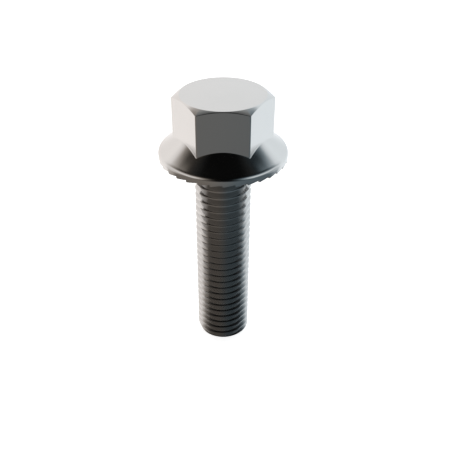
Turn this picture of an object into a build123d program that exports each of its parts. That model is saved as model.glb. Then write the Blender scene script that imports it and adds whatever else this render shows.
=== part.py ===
from build123d import *
import os
from math import cos, radians, sin, tan

# Hexagon flange bolt M10 x 40, forged in one piece: a hexagon over a dished flange, ratchet teeth
# under the flange and a shank for the thread. It stands on its end with the head up. The origin is
# the centre of the end face and +Z runs along the axis to the head. Sizes are in millimetres.

# Shank
thread_diameter = 10.0  # over the crests
thread_depth = 0.92  # crest to root, which the end chamfer takes off
shank_length = 39.5  # end face to tooth tips
neck_radius = 0.6  # fillet under the head

# Hexagon
across_flats = 14.9
head_height = 11.2  # tooth tips to top face
corner_radius = 0.2
top_circle_diameter = 14.5  # where the corner chamfer reaches the top face
chamfer_angle = 28.0  # from the top face

# Flange
flange_diameter = 22.3
edge_height = 0.87  # upright edge, teeth included
edge_radius = 0.85  # roll from the edge into the dish
dish_angle = 35.0  # slope of the dish beside the edge
foot_height = 4.2  # tooth tips to where the dish meets the middle of a flat

# Ratchet teeth, whose steep sides face clockwise seen from the head
tooth_count = 34
tooth_height = 0.36  # at the flange's edge, falling to nothing at the axis
tooth_land = 1.0  # degrees of flat at each tip
tooth_start = 4.9  # degrees from the +X corner to the first steep side
recess_diameter = 13.4  # plain ring inside the teeth, as deep as they are high

thread_radius = thread_diameter / 2
flat_radius = across_flats / 2
top_circle_radius = top_circle_diameter / 2
flange_radius = flange_diameter / 2
tip_z = shank_length
recess_z = tip_z + tooth_height
edge_z = tip_z + edge_height
foot_z = tip_z + foot_height
top_z = tip_z + head_height
tooth_pitch = 360 / tooth_count


# One valley between two teeth: a sector cut off by the ramp that climbs from a tip to the next root
def rim_point(angle, z):
    return Vector(flange_radius * cos(radians(angle)), flange_radius * sin(radians(angle)), z)


axis_point = Vector(0, 0, tip_z)
ramp_foot = rim_point(tooth_land, tip_z) - axis_point
ramp_head = rim_point(tooth_pitch, recess_z) - axis_point
ramp = Plane(origin=axis_point, x_dir=ramp_foot, z_dir=ramp_foot.cross(ramp_head))

with BuildPart() as valley:
    with BuildSketch(Plane.XY.offset(tip_z - tooth_height)):
        with BuildLine():
            reach = 2 * flange_radius
            near = PolarLine((0, 0), reach, tooth_land)
            far = PolarLine((0, 0), reach, tooth_pitch)
            Line(near @ 1, far @ 1)
        make_face()
    extrude(amount=4 * tooth_height)
    split(bisect_by=ramp, keep=Keep.BOTTOM)

with BuildPart() as flange_bolt:
    # Hexagon with its corners chamfered at the top
    with BuildSketch(Plane.XY.offset(edge_z)):
        RegularPolygon(radius=flat_radius, side_count=6, major_radius=False)
        fillet(vertices(), radius=corner_radius)
    extrude(amount=top_z - edge_z)
    with BuildSketch(Plane.XZ):
        with BuildLine():
            cone_radius = across_flats
            cone_z = top_z - (cone_radius - top_circle_radius) * tan(radians(chamfer_angle))
            corner = Line((top_circle_radius, top_z), (cone_radius, cone_z))
            Polyline(corner @ 1, (cone_radius, 0), (0, 0), (0, top_z), corner @ 0)
        make_face()
    revolve(axis=Axis.Z, mode=Mode.INTERSECT)

    # Flange: upright edge, rolled lip and hollow dish up to the flats
    with BuildSketch(Plane.XZ):
        with BuildLine():
            edge = Line((flange_radius, tip_z), (flange_radius, edge_z))
            roll = JernArc(start=edge @ 1, tangent=edge % 1, radius=edge_radius, arc_size=90 - dish_angle)
            dish = TangentArc(roll @ 1, (flat_radius, foot_z), tangent=roll % 1)
            Polyline(dish @ 1, (0, foot_z), (0, tip_z), edge @ 0)
        make_face()
    revolve(axis=Axis.Z)

    # Teeth and the plain ring inside them
    with PolarLocations(radius=0, count=tooth_count, start_angle=tooth_start):
        add(valley.part, mode=Mode.SUBTRACT)
    with BuildSketch(Plane.XY.offset(tip_z)):
        Circle(recess_diameter / 2)
    extrude(amount=tooth_height, mode=Mode.SUBTRACT)

    # Shank with its end chamfered to the thread's root, and the fillet under the head
    with BuildSketch(Plane.XY):
        Circle(thread_radius)
    extrude(amount=recess_z)
    rims = edges().filter_by(GeomType.CIRCLE).filter_by(lambda e: abs(e.radius - thread_radius) < 0.01)
    chamfer(rims.sort_by(Axis.Z)[0], length=thread_depth)
    rims = edges().filter_by(GeomType.CIRCLE).filter_by(lambda e: abs(e.radius - thread_radius) < 0.01)
    fillet(rims.sort_by(Axis.Z)[-1], radius=neck_radius)

flange_bolt.part.label = "flange_bolt"

os.makedirs("parts", exist_ok=True)
export_step(flange_bolt.part, "parts/flange_bolt.step")
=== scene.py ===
from math import cos, pi, radians, sin, sqrt, tan

import bmesh
import bpy
import numpy as np
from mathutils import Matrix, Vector


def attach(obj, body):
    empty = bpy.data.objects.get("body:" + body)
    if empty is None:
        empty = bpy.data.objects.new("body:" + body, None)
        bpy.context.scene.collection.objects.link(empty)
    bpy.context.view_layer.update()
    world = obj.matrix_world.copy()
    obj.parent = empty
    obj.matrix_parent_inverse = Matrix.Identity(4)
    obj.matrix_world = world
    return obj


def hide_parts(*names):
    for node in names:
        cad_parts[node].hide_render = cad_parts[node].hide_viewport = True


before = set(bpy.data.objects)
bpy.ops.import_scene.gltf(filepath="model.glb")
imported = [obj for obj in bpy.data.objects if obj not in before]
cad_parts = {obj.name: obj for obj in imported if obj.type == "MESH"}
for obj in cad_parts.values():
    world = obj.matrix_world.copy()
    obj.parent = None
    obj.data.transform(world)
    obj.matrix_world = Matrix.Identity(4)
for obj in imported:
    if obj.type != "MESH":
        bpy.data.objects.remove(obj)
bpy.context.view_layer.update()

# Sizes of the bolt, in metres
MM = 0.001
CREST_RADIUS = 5.0 * MM
PITCH = 1.43 * MM
CREST_HEIGHT = 0.967 * MM  # of the first crest above the end, at the first column
NECK_RADIUS = 4.55 * MM
NECK_HEIGHT = 38.2 * MM  # where the run-out has become the plain neck
RUN_OUT = 1.6 * MM
RUN_OUT_GAP = 0.05 * MM  # between the end of the run-out and the neck's height
NECK_FILLET = 0.6 * MM
TIP_HEIGHT = 39.5 * MM  # tooth tips
FLANGE_RADIUS = 11.15 * MM
EDGE_HEIGHT = TIP_HEIGHT + 0.87 * MM
EDGE_RADIUS = 0.85 * MM
DISH_ANGLE = radians(35)
FLAT_RADIUS = 7.45 * MM
FOOT_HEIGHT = TIP_HEIGHT + 4.2 * MM  # dish against the middle of a flat
TOP_HEIGHT = TIP_HEIGHT + 11.2 * MM
TOP_CIRCLE_RADIUS = 7.25 * MM
CHAMFER_ANGLE = radians(28)
CORNER_RADIUS = 0.22 * MM
EDGE_SOFTNESS = 0.05 * MM
FOOT_SOFTNESS = 0.1 * MM
TOOTH_COUNT = 34
TOOTH_HEIGHT = 0.36 * MM
TOOTH_LAND = radians(1)
TOOTH_LEAN = 0.02  # of the steep side, in pitches
TOOTH_START = radians(4.9)
TOOTH_MIDDLE_RADIUS = 8.9 * MM
RECESS_RADIUS = 6.7 * MM

# Steps of the mesh
TOOTH_COLUMNS = 6  # as in tooth_columns
COLUMNS = TOOTH_COUNT * TOOTH_COLUMNS  # also a multiple of the hexagon's six sides
BEND_STEPS = 6  # in each rounded edge
DISH_STEPS = 12
FLAT_SHARES = (0.25, 0.5, 0.75)
MERGE = 1e-6
SHARP_ANGLE = radians(38)


class Signal:
    """One output of a node, on which Python's operators add Math nodes."""

    def __init__(self, graph, socket):
        self.graph = graph
        self.socket = socket

    def math(self, operation, *others):
        inputs = dict(enumerate((self, *others)))
        return self.graph.node("ShaderNodeMath", {"operation": operation}, inputs)

    def __add__(self, other):
        return self.math("ADD", other)

    def __mul__(self, other):
        return self.math("MULTIPLY", other)

    def __sub__(self, other):
        return self.math("SUBTRACT", other)

    def __truediv__(self, other):
        return self.math("DIVIDE", other)

    def __mod__(self, other):
        return self.math("FLOORED_MODULO", other)

    def __floordiv__(self, other):
        return (self / other).math("FLOOR")

    def __rsub__(self, other):
        return self * -1 + other

    def __rtruediv__(self, other):
        return self.graph.node("ShaderNodeMath", {"operation": "DIVIDE"}, {0: other, 1: self})

    __radd__ = __add__
    __rmul__ = __mul__

    def low(self, other):
        return self.math("MINIMUM", other)

    def high(self, other):
        return self.math("MAXIMUM", other)


class Graph:
    """A node tree, with a short call for each kind of node."""

    def __init__(self, tree):
        self.tree = tree

    def node(self, kind, settings=None, inputs=None, output=0):
        """An output of a new node with those settings and inputs."""
        made = self.tree.nodes.new(kind)
        for name, value in (settings or {}).items():
            setattr(made, name, value)
        return self.feed(made, inputs or {}, output)

    def feed(self, made, inputs, output=0):
        """Sets or links the node's inputs, and gives one of its outputs."""
        for name, value in inputs.items():
            if isinstance(value, Signal):
                self.tree.links.new(value.socket, made.inputs[name])
            else:
                made.inputs[name].default_value = value
        return Signal(self, made.outputs[output])

    def pick(self, index, choices):
        """The choice with that index, each a number or a Signal."""
        made = self.tree.nodes.new("GeometryNodeIndexSwitch")
        made.data_type = "FLOAT"
        while len(made.index_switch_items) < len(choices):
            made.index_switch_items.new()
        inputs = {place + 1: choice for place, choice in enumerate(choices)}
        return self.feed(made, {0: index, **inputs})

    def smooth(self, value, low, high, start=0.0, end=1.0):
        """A soft step from start to end while value goes from low to high."""
        inputs = {"Value": value, "From Min": low, "From Max": high, "To Min": start, "To Max": end}
        return self.node("ShaderNodeMapRange", {"interpolation_type": "SMOOTHSTEP"}, inputs)

    def axes(self, place):
        """The X, Y and Z of a place."""
        made = self.node("ShaderNodeSeparateXYZ", inputs={0: place}).socket.node
        return [Signal(self, output) for output in made.outputs]

    def blend(self, share, first, second):
        """The colour that is that share of the way from the first to the second."""
        inputs = {"Factor": share, 6: first, 7: second}
        return self.node("ShaderNodeMix", {"data_type": "RGBA"}, inputs, output=2)

    def send(self, result, kind, name):
        """Ends the tree in an output node of that kind."""
        output = self.tree.nodes.new(kind)
        self.tree.links.new(result.socket, output.inputs[name])


# Geometry node trees

SOCKETS = {int: "NodeSocketInt", float: "NodeSocketFloat", bpy.types.Material: "NodeSocketMaterial"}


def geometry_graph(name, sizes):
    """A tree with a named input for each size, and those inputs as Signals."""
    tree = bpy.data.node_groups.new(name, "GeometryNodeTree")
    tree.interface.new_socket("Mesh", in_out="OUTPUT", socket_type="NodeSocketGeometry")
    for size, value in sizes.items():
        tree.interface.new_socket(size, in_out="INPUT", socket_type=SOCKETS[type(value)])
    graph = Graph(tree)
    group_in = tree.nodes.new("NodeGroupInput")
    return graph, {size: Signal(graph, group_in.outputs[size]) for size in sizes}


def grid(graph, columns, rows):
    """A sheet of columns by rows steps, with each point's column and row."""
    inputs = {"Size X": columns, "Size Y": rows, "Vertices X": columns + 1, "Vertices Y": rows + 1}
    sheet = graph.node("GeometryNodeMeshGrid", inputs=inputs)
    across, along, _ = graph.axes(graph.node("GeometryNodeInputPosition"))
    column = (across + columns * 0.5).math("ROUND")
    row = (along + rows * 0.5).math("ROUND")
    return sheet, column, row


def wrap(graph, sheet, angle, radius, height):
    """Moves each point of the sheet to its angle, radius and height about the axis."""
    inputs = {"X": radius * angle.math("COSINE"), "Y": radius * angle.math("SINE"), "Z": height}
    place = graph.node("ShaderNodeCombineXYZ", inputs=inputs)
    return graph.node("GeometryNodeSetPosition", inputs={"Geometry": sheet, "Position": place})


def close_graph(graph, sheet, material):
    """Realizes, merges and paints the sheet, and sends it to the output."""
    whole = graph.node("GeometryNodeRealizeInstances", inputs={"Geometry": sheet})
    whole = graph.node("GeometryNodeMergeByDistance", inputs={"Geometry": whole, "Distance": MERGE})
    whole = graph.node("GeometryNodeSetMaterial", inputs={"Geometry": whole, "Material": material})
    graph.send(whole, "NodeGroupOutput", "Mesh")


def evaluate(tree, sizes):
    """The plain mesh that the tree makes with these sizes."""
    carrier = bpy.data.objects.new(tree.name, bpy.data.meshes.new(tree.name))
    bpy.context.scene.collection.objects.link(carrier)
    modifier = carrier.modifiers.new(tree.name, "NODES")
    modifier.node_group = tree
    for item in tree.interface.items_tree:
        if item.in_out == "INPUT":
            modifier[item.identifier] = sizes[item.name]
    evaluated = carrier.evaluated_get(bpy.context.evaluated_depsgraph_get())
    mesh = bpy.data.meshes.new_from_object(evaluated)
    bpy.data.objects.remove(carrier)
    return mesh


# The thread, from the end's edge up to the neck

FLANK = sqrt(3)  # rise of a 60 degree thread's flank outwards, for each step along the axis
CREST_EDGE = 1 / 16  # in pitches from the middle of the crest
ROOT_EDGE = 7 / 16
FULL_DEPTH = (ROOT_EDGE - CREST_EDGE) * FLANK
EARLY_TURNS = 2  # turns of the helix that start below the end and are cut off there

# One turn's lines along the helix: place from the crest's middle and depth, in pitches
HELIX_LINES = (
    (-CREST_EDGE, 0.0),
    (0.0, 0.0),
    (CREST_EDGE, 0.0),
    (ROOT_EDGE, FULL_DEPTH),
    (1 - ROOT_EDGE, FULL_DEPTH),
)
ROOT_LINES = 2  # the last ones


def thread_mesh(material):
    """Right-hand thread, its crests cut by the end chamfer and its grooves run out at the neck."""
    sizes = {
        "Columns": COLUMNS,
        "Turns": int(NECK_HEIGHT / PITCH) + EARLY_TURNS + 1,
        "First angle": TOOTH_START,
        "Crest radius": CREST_RADIUS,
        "Pitch": PITCH,
        "Crest height": CREST_HEIGHT,
        "Neck radius": NECK_RADIUS,
        "Neck height": NECK_HEIGHT,
        "Run-out": RUN_OUT,
        "Material": material,
    }
    graph, size = geometry_graph("thread", sizes)
    pitch = size["Pitch"]
    crest = size["Crest radius"]
    depth = pitch * FULL_DEPTH
    root = crest - depth
    sheet, column, row = grid(graph, size["Columns"], size["Turns"] * len(HELIX_LINES))
    turned = column / size["Columns"]
    line = row % len(HELIX_LINES)
    turns = row // len(HELIX_LINES) - EARLY_TURNS + turned
    level = graph.pick(line, [place for place, _ in HELIX_LINES])
    height = size["Crest height"] + pitch * (turns + level)
    radius = crest - pitch * graph.pick(line, [sunk for _, sunk in HELIX_LINES])

    # A crest edge outside the chamfer's cone slides along its flank until it meets the cone
    def below(edge):
        met = (edge * FLANK - depth) / (FLANK - 1)
        return edge.low(met).high(edge - pitch * (ROOT_EDGE - CREST_EDGE))

    def above(edge):
        return edge.high((edge * FLANK + depth) / (FLANK + 1))

    middle = depth.high(below(height - pitch * CREST_EDGE)).low(above(height + pitch * CREST_EDGE))
    slid = graph.pick(line, [below(height), middle, above(height)] + [height] * ROOT_LINES)
    sinks = graph.pick(line, [1.0, 0.0, 1.0] + [0.0] * ROOT_LINES)
    drop = sinks * (slid - height).math("ABSOLUTE") * FLANK
    slid = slid.high(0.0).low(size["Neck height"])
    radius = (radius - drop).high(root).low(root + slid)

    # Near the neck, crests and grooves fade into one radius
    fade_start = size["Neck height"] - size["Run-out"]
    faded = graph.smooth(slid, fade_start, size["Neck height"] - RUN_OUT_GAP)
    radius = radius + (size["Neck radius"] - radius) * faded
    sheet = wrap(graph, sheet, size["First angle"] + turned * 2 * pi, radius, slid)
    close_graph(graph, sheet, size["Material"])
    return evaluate(graph.tree, sizes)


# The ratchet teeth, with the flange's upright edge and the underside up to the neck


def tooth_columns():
    """Places of a tooth's columns, in shares of its pitch, and their shares of its height."""
    pitch = 2 * pi / TOOTH_COUNT
    land = TOOTH_LAND / pitch
    ramp = [land + share * (1 - TOOTH_LEAN - land) for share in (0.25, 0.5, 0.75, 1.0)]
    rise = [sin((place - land) * pitch) / sin((1 - land) * pitch) for place in ramp]
    return [-TOOTH_LEAN, 0.0, land] + ramp, [rise[-1], 0.0, 0.0] + rise


def underside_rows():
    """Rows of points from the flange's edge to the neck.

    Each has its radius, its height above the tips and two shares: how much of a tooth's height it
    has, and how far its columns go from even places to the tooth's own.
    """
    plain = TOOTH_HEIGHT
    rows = [
        (FLANGE_RADIUS, EDGE_HEIGHT - TIP_HEIGHT, 0.0, 0.0),
        (FLANGE_RADIUS, 0.0, 1.0, 1.0),
        (TOOTH_MIDDLE_RADIUS, 0.0, 1.0, 1.0),
        (RECESS_RADIUS, 0.0, 1.0, 1.0),
        (RECESS_RADIUS, plain, 0.0, 1.0),
    ]
    for turn in np.radians(np.linspace(0, 90, BEND_STEPS + 1)):
        radius = NECK_RADIUS + NECK_FILLET * (1 - sin(turn))
        rows.append((radius, plain - NECK_FILLET * (1 - cos(turn)), 0.0, 0.0))
    rows.append((NECK_RADIUS, NECK_HEIGHT - TIP_HEIGHT, 0.0, 0.0))
    return rows


def teeth_mesh(material):
    """One tooth's sector of the underside, turned about the axis once for each tooth."""
    sizes = {
        "Count": TOOTH_COUNT,
        "First angle": TOOTH_START,
        "Tip height": TIP_HEIGHT,
        "Tooth height": TOOTH_HEIGHT,
        "Flange radius": FLANGE_RADIUS,
        "Material": material,
    }
    graph, size = geometry_graph("teeth", sizes)
    rows = underside_rows()
    radii, levels, tooth_shares, column_shares = zip(*rows)
    places, rises = tooth_columns()
    columns_in = graph.node("FunctionNodeInputInt", {"integer": TOOTH_COLUMNS})
    rows_in = graph.node("FunctionNodeInputInt", {"integer": len(rows) - 1})
    sheet, column, row = grid(graph, columns_in, rows_in)
    radius = graph.pick(row, radii)
    pitch = 2 * pi / size["Count"]
    even = column / TOOTH_COLUMNS
    moved = (graph.pick(column, places) - even) * graph.pick(row, column_shares)
    angle = pitch * (even + moved)
    rise = size["Tooth height"] * graph.pick(column, rises) * radius / size["Flange radius"]
    height = size["Tip height"] + graph.pick(row, levels) + rise * graph.pick(row, tooth_shares)
    sector = wrap(graph, sheet, angle, radius, height)
    points = graph.node("GeometryNodePoints", inputs={"Count": size["Count"]})
    number = graph.node("GeometryNodeInputIndex")
    turns = graph.node("ShaderNodeCombineXYZ", inputs={"Z": size["First angle"] + number * pitch})
    inputs = {"Points": points, "Instance": sector, "Rotation": turns}
    ring = graph.node("GeometryNodeInstanceOnPoints", inputs=inputs)
    close_graph(graph, ring, size["Material"])
    return evaluate(graph.tree, sizes)


# The head: rolled lip, dish, hexagon and top, as rows of points from the flange's edge inwards.
# A point is a radius and a height, and a row holds one for every column.

UP = np.array([[0.0], [1.0]])
INWARD = np.array([[-1.0], [0.0]])


def toward(angle):
    """The step of length one at that angle."""
    return np.array((cos(angle), sin(angle)))


def hexagon_outline():
    """Radius and angle of each column around the hexagon with its rounded corners."""
    centre = (FLAT_RADIUS - CORNER_RADIUS) / cos(radians(30))
    flat_steps = COLUMNS // 6 - BEND_STEPS
    points = []
    for corner in range(0, 360, 60):
        heading = radians(corner)
        middle = centre * toward(heading)
        for turn in np.radians(np.linspace(-30, 30, BEND_STEPS + 1)):
            points.append(middle + CORNER_RADIUS * toward(heading + turn))
        start = points[-1]
        end = centre * toward(heading + radians(60)) + CORNER_RADIUS * toward(heading + radians(30))
        inner = np.linspace(0, 1, flat_steps + 1)[1:-1]
        points += [start + (end - start) * share for share in inner]
    points = np.array(points)
    angles = np.unwrap(np.arctan2(points[:, 1], points[:, 0]))
    return np.hypot(points[:, 0], points[:, 1]), angles


def rounded(place, before, middle, after, gap, softness):
    """A corner or a pair of corners, smoothed over a distance of softness each way.

    place is the first corner, before, middle and after the directions of travel, gap the distance
    between the two corners, and the result a function of the distance travelled past the first one.
    """

    def running(travel):
        short = np.maximum(travel, 0)
        long = np.maximum(travel - gap, 0)
        return (
            before * np.minimum(travel, 0) ** 2 / 2
            + middle * (short**2 - long**2) / 2
            + after * long**2 / 2
        )

    def point(travel):
        return place + (running(travel + softness) - running(travel - softness)) / (2 * softness)

    return point


def lip_rows():
    """The rolled lip, from the top of the upright edge to the dish."""
    rows = []
    for turn in np.linspace(0, pi / 2 - DISH_ANGLE, BEND_STEPS + 1):
        radius = FLANGE_RADIUS - EDGE_RADIUS * (1 - cos(turn))
        height = EDGE_HEIGHT + EDGE_RADIUS * sin(turn)
        rows.append(np.full((2, COLUMNS), ((radius,), (height,))))
    return rows


def dish_rows(across, lip_radius, lip_height):
    """The dish, an arc from the lip's slope to the middle of a flat, and the bend into the flats."""
    run = FLAT_RADIUS - lip_radius
    rise = FOOT_HEIGHT - lip_height
    dish_radius = (run**2 + rise**2) / (2 * (run * sin(DISH_ANGLE) + rise * cos(DISH_ANGLE)))
    centre_radius = lip_radius + dish_radius * sin(DISH_ANGLE)
    centre_height = lip_height + dish_radius * cos(DISH_ANGLE)

    def dish(radius):
        return centre_height - np.sqrt(dish_radius**2 - (centre_radius - radius) ** 2)

    foot = np.array([across, dish(across)])
    slope = np.array([foot[0] - centre_radius, foot[1] - centre_height]) / dish_radius
    along_dish = np.array([slope[1], -slope[0]])
    bend = rounded(foot, along_dish, UP, UP, 0.0, FOOT_SOFTNESS)
    last = bend(np.full(COLUMNS, -FOOT_SOFTNESS))[0]
    arc = []
    for share in np.linspace(0, 1, DISH_STEPS + 1)[1:-1]:
        radius = lip_radius + (last - lip_radius) * share
        arc.append(np.array([radius, dish(radius)]))
    shares = np.linspace(-1, 1, BEND_STEPS + 1)
    return arc, [bend(np.full(COLUMNS, share * FOOT_SOFTNESS)) for share in shares]


def top_rows(across, start):
    """The flats above start, the chamfer's cone, and the turn into the top face."""
    top_radius = np.minimum(across, TOP_CIRCLE_RADIUS)
    gap = (across - top_radius) / cos(CHAMFER_ANGLE)
    shoulder = np.array([across, TOP_HEIGHT - (across - top_radius) * tan(CHAMFER_ANGLE)])
    cone = np.array([[-cos(CHAMFER_ANGLE)], [sin(CHAMFER_ANGLE)]])
    soft = EDGE_SOFTNESS
    bend = rounded(shoulder, UP, cone, INWARD, gap, soft)
    end = bend(np.full(COLUMNS, -soft))
    rows = [start + (end - start) * share for share in FLAT_SHARES]
    travels = (
        np.full(COLUMNS, -soft),
        np.full(COLUMNS, -soft / 2),
        np.zeros(COLUMNS),
        np.minimum(soft / 2, gap / 4),
        np.minimum(soft, gap / 2),
        np.maximum(gap - soft, gap / 2),
        np.maximum(gap - soft / 2, gap * 3 / 4),
        gap,
        gap + soft / 2,
        gap + soft,
    )
    return rows + [bend(travel) for travel in travels]


def head_rows():
    """All rows of the head, each with how far its columns go from even places to the hexagon's."""
    across, _ = hexagon_outline()
    lip = lip_rows()
    arc, foot = dish_rows(across, *lip[-1][:, 0])
    rows = [(row, 0.0) for row in lip]
    rows += [(row, min(1.0, 2 * step / DISH_STEPS)) for step, row in enumerate(arc, start=1)]
    rows += [(row, 1.0) for row in foot + top_rows(across, foot[-1])]
    return rows


def head_mesh(material):
    """The head's skin, open at the flange's edge and at the top."""
    even = TOOTH_START + np.arange(COLUMNS) * 2 * pi / COLUMNS
    _, hexagon = hexagon_outline()

    # The hexagon's columns are counted from the one nearest to the first tooth
    shift = round(np.mean(even - hexagon) / (2 * pi / COLUMNS))
    hexagon = np.roll(hexagon, -shift)
    hexagon[len(hexagon) - shift :] += 2 * pi
    points = []
    for row, share in head_rows():
        radius, height = np.roll(row, -shift, axis=1)
        angle = even + (hexagon - even) * share
        points.append(np.stack([radius * np.cos(angle), radius * np.sin(angle), height], axis=1))
    index = np.arange(len(points) * COLUMNS).reshape(len(points), COLUMNS)
    after = np.roll(index, -1, axis=1)
    faces = np.stack([index[:-1], after[:-1], after[1:], index[1:]], axis=2).reshape(-1, 4)
    mesh = bpy.data.meshes.new("head")
    mesh.from_pydata(np.concatenate(points).tolist(), [], faces.tolist())
    mesh.materials.append(material)
    return mesh


def bolt_mesh(material):
    """Thread, teeth and head as one mesh, closed by the end face and the top face."""
    whole = bmesh.new()
    for skin in (thread_mesh(material), teeth_mesh(material), head_mesh(material)):
        whole.from_mesh(skin)
    bmesh.ops.remove_doubles(whole, verts=whole.verts, dist=2 * MERGE)
    bmesh.ops.dissolve_degenerate(whole, edges=whole.edges, dist=MERGE)
    bmesh.ops.holes_fill(whole, edges=[edge for edge in whole.edges if edge.is_boundary], sides=0)
    bmesh.ops.recalc_face_normals(whole, faces=whole.faces)
    mesh = bpy.data.meshes.new("flange_bolt_steel")
    whole.to_mesh(mesh)
    whole.free()
    mesh.materials.append(material)
    mesh.shade_smooth()
    mesh.set_sharp_from_angle(angle=SHARP_ANGLE)
    return mesh


def bolt(material):
    """The visible bolt, in place of the plain solid."""
    piece = bpy.data.objects.new("bolt_steel", bolt_mesh(material))
    bpy.context.scene.collection.objects.link(piece)
    weighted = piece.modifiers.new("weighted normals", "WEIGHTED_NORMAL")
    weighted.keep_sharp = True
    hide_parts("flange_bolt")
    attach(piece, "root")


# Steel

DARK_TINT = (0.55, 0.55, 0.545, 1)
PALE_TINT = (0.58, 0.575, 0.57, 1)
# colour that the painted shade darkens the steel towards
SHADE_BLACK = (0, 0, 0, 1)
PATCH_SCALE = 260.0
PATCH_DETAIL = 3.0
GRAIN_SCALE = 2500.0
GRAIN_DETAIL = 2.0
ROUGHNESS = 0.1
PATCH_ROUGHNESS = 0.04
GRAIN_ROUGHNESS = 0.02
GRAIN_STRENGTH = 0.02
GRAIN_DEPTH = 0.01 * MM
GROOVE_PAINTED_SHADE = 0.17  # painted shade in the thread's grooves: share of its light that the steel loses there
# painted shade on the teeth under the flange: share of its light that the steel loses there
TEETH_PAINTED_SHADE = 0.5
FULL_SHADE_DEPTH = 0.3 * MM  # below the crests, where a groove's painted shade is full
NO_SHADE_DEPTH = 0.05 * MM  # and where a groove has no painted shade yet
SHANK_FADE = 0.5 * MM
RIM_FADE = 0.1 * MM


def painted_shade_factor(graph, place):
    """Share of its light that the steel keeps, lowered by painted shade in the thread's grooves and
    on the teeth.
    """
    x, y, z = graph.axes(place)
    radius = (x * x + y * y).math("SQRT")
    shank = graph.smooth(z, TIP_HEIGHT - SHANK_FADE, TIP_HEIGHT, 1.0, 0.0)
    fully_shaded, bright = CREST_RADIUS - FULL_SHADE_DEPTH, CREST_RADIUS - NO_SHADE_DEPTH
    # Painted shade in the thread's grooves, full at their roots
    groove = shank * graph.smooth(radius, fully_shaded, bright, 1.0, 0.0)
    # Painted shade on the teeth under the flange
    teeth = graph.smooth(radius, FLANGE_RADIUS - RIM_FADE, FLANGE_RADIUS, 1.0, 0.0)
    teeth = teeth * (1 - shank) * graph.smooth(z, TIP_HEIGHT + TOOTH_HEIGHT, EDGE_HEIGHT, 1.0, 0.0)
    return (1 - GROOVE_PAINTED_SHADE * groove) * (1 - TEETH_PAINTED_SHADE * teeth)


def steel():
    """Bright plated steel with a fine satin grain, and shade painted into the grooves and onto the
    teeth under the flange.
    """
    material = bpy.data.materials.new("satin_steel")
    material.use_nodes = True
    material.node_tree.nodes.clear()
    graph = Graph(material.node_tree)
    place = graph.node("ShaderNodeTexCoord", output="Object")
    inputs = {"Vector": place, "Scale": PATCH_SCALE, "Detail": PATCH_DETAIL}
    patches = graph.node("ShaderNodeTexNoise", inputs=inputs)
    inputs = {"Vector": place, "Scale": GRAIN_SCALE, "Detail": GRAIN_DETAIL}
    grain = graph.node("ShaderNodeTexNoise", inputs=inputs)
    tint = graph.blend(patches, DARK_TINT, PALE_TINT)
    # Painted shade: the tint goes towards black in the grooves and on the teeth under the flange
    tint = graph.blend(painted_shade_factor(graph, place), SHADE_BLACK, tint)
    rough = ROUGHNESS + patches * PATCH_ROUGHNESS + grain * GRAIN_ROUGHNESS
    inputs = {"Strength": GRAIN_STRENGTH, "Distance": GRAIN_DEPTH, "Height": grain}
    bump = graph.node("ShaderNodeBump", inputs=inputs)
    inputs = {"Base Color": tint, "Metallic": 1.0, "Roughness": rough, "Normal": bump}
    shader = graph.node("ShaderNodeBsdfPrincipled", inputs=inputs)
    graph.send(shader, "ShaderNodeOutputMaterial", "Surface")
    return material


# Camera

CAMERA_AIM = Vector((0, 0, 25.0 * MM))
CAMERA_DISTANCE = 115.226 * MM
CAMERA_HEIGHT = radians(34.131)
FOCAL_PIXELS = 619.08
FRAME_PIXELS = 450
AXIS_PIXEL = (222.6, 223.5)
SENSOR_WIDTH = 36
NEAREST = 1.0 * MM
FARTHEST = 10.0


def camera():
    """The photograph's camera."""
    data = bpy.data.cameras.new("camera")
    data.sensor_width = SENSOR_WIDTH
    data.lens = FOCAL_PIXELS / FRAME_PIXELS * SENSOR_WIDTH
    data.clip_start = NEAREST
    data.clip_end = FARTHEST
    middle = (FRAME_PIXELS - 1) / 2
    data.shift_x = (middle - AXIS_PIXEL[0]) / FRAME_PIXELS
    data.shift_y = (AXIS_PIXEL[1] - middle) / FRAME_PIXELS
    eye = bpy.data.objects.new("camera", data)
    way = Vector((0, -cos(CAMERA_HEIGHT), sin(CAMERA_HEIGHT)))
    eye.location = CAMERA_AIM + CAMERA_DISTANCE * way
    eye.rotation_euler = (pi / 2 - CAMERA_HEIGHT, 0, 0)
    bpy.context.scene.collection.objects.link(eye)
    bpy.context.scene.camera = eye


# Table, and the wall round it

WHITE = (1, 1, 1, 1)
OFF_WHITE = (0.9, 0.9, 0.9, 1)
MATT = 0.9
TABLE_REACH = 1.5  # from its middle to its sides
TABLE_GLOW = 0.85
WALL_RADIUS = 1.4
WALL_HEIGHT = 4.0  # half of it below the table
WALL_SIDES = 48
WALL_GLOW = 1.0


def pale(name, glow):
    """Matt white that glows a little, for a clean ground to the picture."""
    material = bpy.data.materials.new(name)
    material.use_nodes = True
    shader = material.node_tree.nodes["Principled BSDF"]
    shader.inputs["Base Color"].default_value = OFF_WHITE
    shader.inputs["Roughness"].default_value = MATT
    shader.inputs["Emission Color"].default_value = WHITE
    shader.inputs["Emission Strength"].default_value = glow
    return material


def scenery(name, shape, material):
    """An object of the stage that the reflections don't see."""
    mesh = bpy.data.meshes.new(name)
    shape.to_mesh(mesh)
    shape.free()
    mesh.materials.append(material)
    piece = bpy.data.objects.new(name, mesh)
    piece.visible_glossy = False
    piece.visible_diffuse = False
    bpy.context.scene.collection.objects.link(piece)
    return piece


def floor():
    """Pale table that the bolt stands on."""
    sheet = bmesh.new()
    bmesh.ops.create_grid(sheet, x_segments=1, y_segments=1, size=TABLE_REACH)
    scenery("table", sheet, pale("pale_table", TABLE_GLOW))


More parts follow.
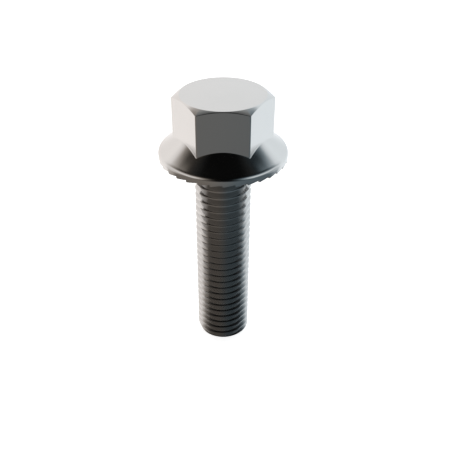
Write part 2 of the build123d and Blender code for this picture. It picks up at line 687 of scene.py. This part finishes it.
def wall():
    """Wall of the same white far round the table, which blocks no light."""
    drum = bmesh.new()
    radii = {"radius1": WALL_RADIUS, "radius2": WALL_RADIUS}
    bmesh.ops.create_cone(drum, cap_ends=False, segments=WALL_SIDES, depth=WALL_HEIGHT, **radii)
    piece = scenery("wall", drum, pale("pale_wall", WALL_GLOW))
    piece.visible_shadow = False


# Studio lights, as the world that the steel reflects. Each is a brightness by direction, and right,
# back and up are the parts of the direction, from -1 to 1. The bolt is seen from the front.

REAR_NEAR = 1.33  # brightness of the rear box where it comes forward
REAR_FAR = 1.19  # and straight behind
BAND_DIMMING = 0.6  # of the side boxes, in a band just below the level
GREY = 0.24  # brightest below the camera
DARK = 0.005  # above the camera
DARK_FRONT = 0.004
DARK_SIDES = 0.043

# Colours of faint and of full light, at the left and at the right
LEFT_TINTS = ((1.0, 0.86, 0.73, 1), (1.0, 0.95, 0.92, 1))
RIGHT_TINTS = ((0.46, 0.64, 0.75, 1), (0.88, 0.935, 0.97, 1))


def rear_box(graph, aside, back, up):
    """Soft box behind the bolt, which reaches further forward low down and at its middle."""
    # How far back its front edge lies
    edge = graph.smooth(up, -0.75, -0.5, -0.25, 0.2) + graph.smooth(up, -0.3, 0.0, 0.0, -0.2)
    edge = edge + up.high(0.0).low(0.735) * 0.43
    edge = edge + graph.smooth(aside, 0.4, 0.75, 0.0, 0.1) * graph.smooth(up, 0.6, 0.7, 1.0, 0.35)
    edge = edge + graph.smooth(up, 0.66, 0.8) * graph.smooth(aside, 0.5, 0.6, 0.11, -0.07)

    # Half the width over which it fades there, which is less beside the bolt
    reach = graph.smooth(up, -0.3, 0.3, 0.12, 0.31) + graph.smooth(up, 0.8, 0.88, 0.0, 0.19)
    steep = graph.smooth(up, 0.45, 0.6, 0.0, 0.12) * graph.smooth(up, 0.7, 0.8, 1.0, 0.6)
    reach = reach - steep * graph.smooth(aside, 0.56, 0.64)
    box = graph.smooth((back - edge) / reach, -1.0, 1.0) * graph.smooth(up, -0.9, -0.45)
    return box * graph.smooth(back, 0.45, 0.9, REAR_NEAR, REAR_FAR)


def side_boxes(graph, right, behind, up):
    """Soft boxes beside the bolt and level with it, dimmer in a low band towards the front."""
    boxes = graph.smooth(behind, -1.0, -0.62) * graph.smooth(up, 0.3, 0.8, 1.0, 0.0)
    lowered = up + graph.smooth(behind, -0.4, 0.3, 0.0, 0.3)
    boxes = boxes * graph.smooth(lowered, -0.42, 0.03)
    band = graph.smooth(up, -0.28, -0.2) * graph.smooth(up, 0.0, 0.1, 1.0, 0.0)
    shifted = behind - graph.smooth(right, -0.5, 0.5, 0.0, 0.2)
    front = graph.smooth(shifted, -0.6, 0.3, 1.0, 0.0)
    return boxes * (1 - BAND_DIMMING * band * front)


def surrounding_grey(graph, aside, up):
    """Grey below the camera, nearly black above it, and a little lighter to the sides."""
    grey = graph.smooth(up, -0.66, -0.46, 0.06, GREY)
    grey = grey.low(graph.smooth(up, -0.32, 0.0, GREY, DARK))
    return grey.high(graph.smooth(aside, 0.3, 0.65, DARK_FRONT, DARK_SIDES))


def studio():
    """The world with all the lights, warm at the left and cool at the right."""
    world = bpy.data.worlds.new("studio")
    world.use_nodes = True
    world.node_tree.nodes.clear()
    graph = Graph(world.node_tree)
    right, back, up = graph.axes(graph.node("ShaderNodeTexCoord", output="Generated"))
    aside = right.math("ABSOLUTE")
    behind = back / (right * right + back * back).math("SQRT")
    light = rear_box(graph, aside, back, up).high(side_boxes(graph, right, behind, up))
    light = light.high(surrounding_grey(graph, aside, up))

    # Overhead the colour is the mean of the two
    side = graph.smooth(right, -0.5, 0.5)
    side = side + (0.5 - side) * graph.smooth(up, 0.82, 0.9)
    warm = graph.blend(light, *LEFT_TINTS)
    cool = graph.blend(light, *RIGHT_TINTS)
    tint = graph.blend(side, warm, cool)
    background = graph.node("ShaderNodeBackground", inputs={"Color": tint, "Strength": light})
    graph.send(background, "ShaderNodeOutputWorld", "Surface")
    bpy.context.scene.world = world


bolt(steel())
camera()
floor()
wall()
studio()
bpy.context.scene.view_settings.view_transform = "Standard"
